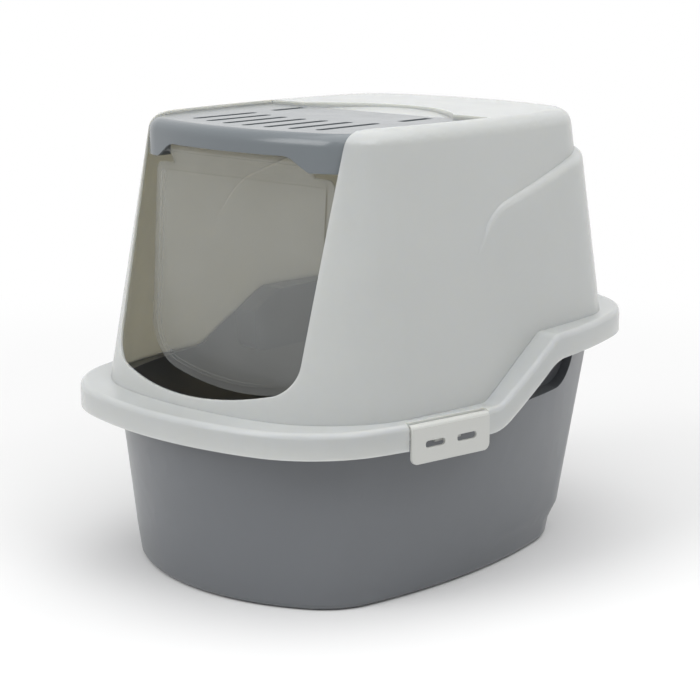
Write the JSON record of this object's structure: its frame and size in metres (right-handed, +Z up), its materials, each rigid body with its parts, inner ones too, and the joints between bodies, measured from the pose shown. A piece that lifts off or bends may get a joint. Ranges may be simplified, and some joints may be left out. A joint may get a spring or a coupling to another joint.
{
  "type": "hooded cat litter box",
  "caption": "Hooded cat litter box with a deep tray, clip-on hood, flip-up vented visor, see-through swing door and carbon filter.",
  "frame": {"origin": "on the floor under the middle of the hood's rim", "axes": "+Z up, the doorway faces -Y, +X to the right seen from the front"},
  "size_m": [0.395, 0.494, 0.401],
  "materials": {
    "tray_plastic": "satin moulded polypropylene, mid grey",
    "hood_plastic": "satin moulded polypropylene, light grey",
    "visor_plastic": "satin moulded polypropylene, blue grey",
    "door_plastic": "clear smoky moulded styrene",
    "filter_foam": "open-cell carbon foam",
    "frame_plastic": "moulded polypropylene, grey",
    "clip_plastic": "satin moulded polypropylene, off-white"
  },
  "bodies": {
    "tray": {"tray": "tray_plastic"},
    "hood": {"hood": "hood_plastic"},
    "visor": {"visor": "visor_plastic", "filter_pad": "filter_foam", "filter_frame": "frame_plastic"},
    "door": {"door": "door_plastic"},
    "clip_left": {"clip_left": "clip_plastic"},
    "clip_right": {"clip_right": "clip_plastic"}
  },
  "joints": [
    {"name": "hood_lift", "type": "slide", "parent": "tray", "child": "hood", "axis": [0, 0, 1], "range_m": [0, 0.25]},
    {"name": "visor_flip", "type": "hinge", "parent": "hood", "child": "visor", "pos_m": [0, 0.0155, 0.3905], "axis": [-1, 0, 0], "range_deg": [0, 100]},
    {"name": "door_swing", "type": "hinge", "parent": "visor", "child": "door", "pos_m": [0, -0.149, 0.373], "axis": [1, 0, 0], "range_deg": [-60, 75]},
    {"name": "clip_left_turn", "type": "hinge", "parent": "hood", "child": "clip_left", "pos_m": [-0.1856, -0.0913, 0.1625], "axis": [-0.1676, 0.9859, 0], "range_deg": [0, 85]},
    {"name": "clip_right_turn", "type": "hinge", "parent": "hood", "child": "clip_right", "pos_m": [0.1856, -0.0913, 0.1625], "axis": [-0.1676, -0.9859, 0], "range_deg": [0, 85]}
  ]
}
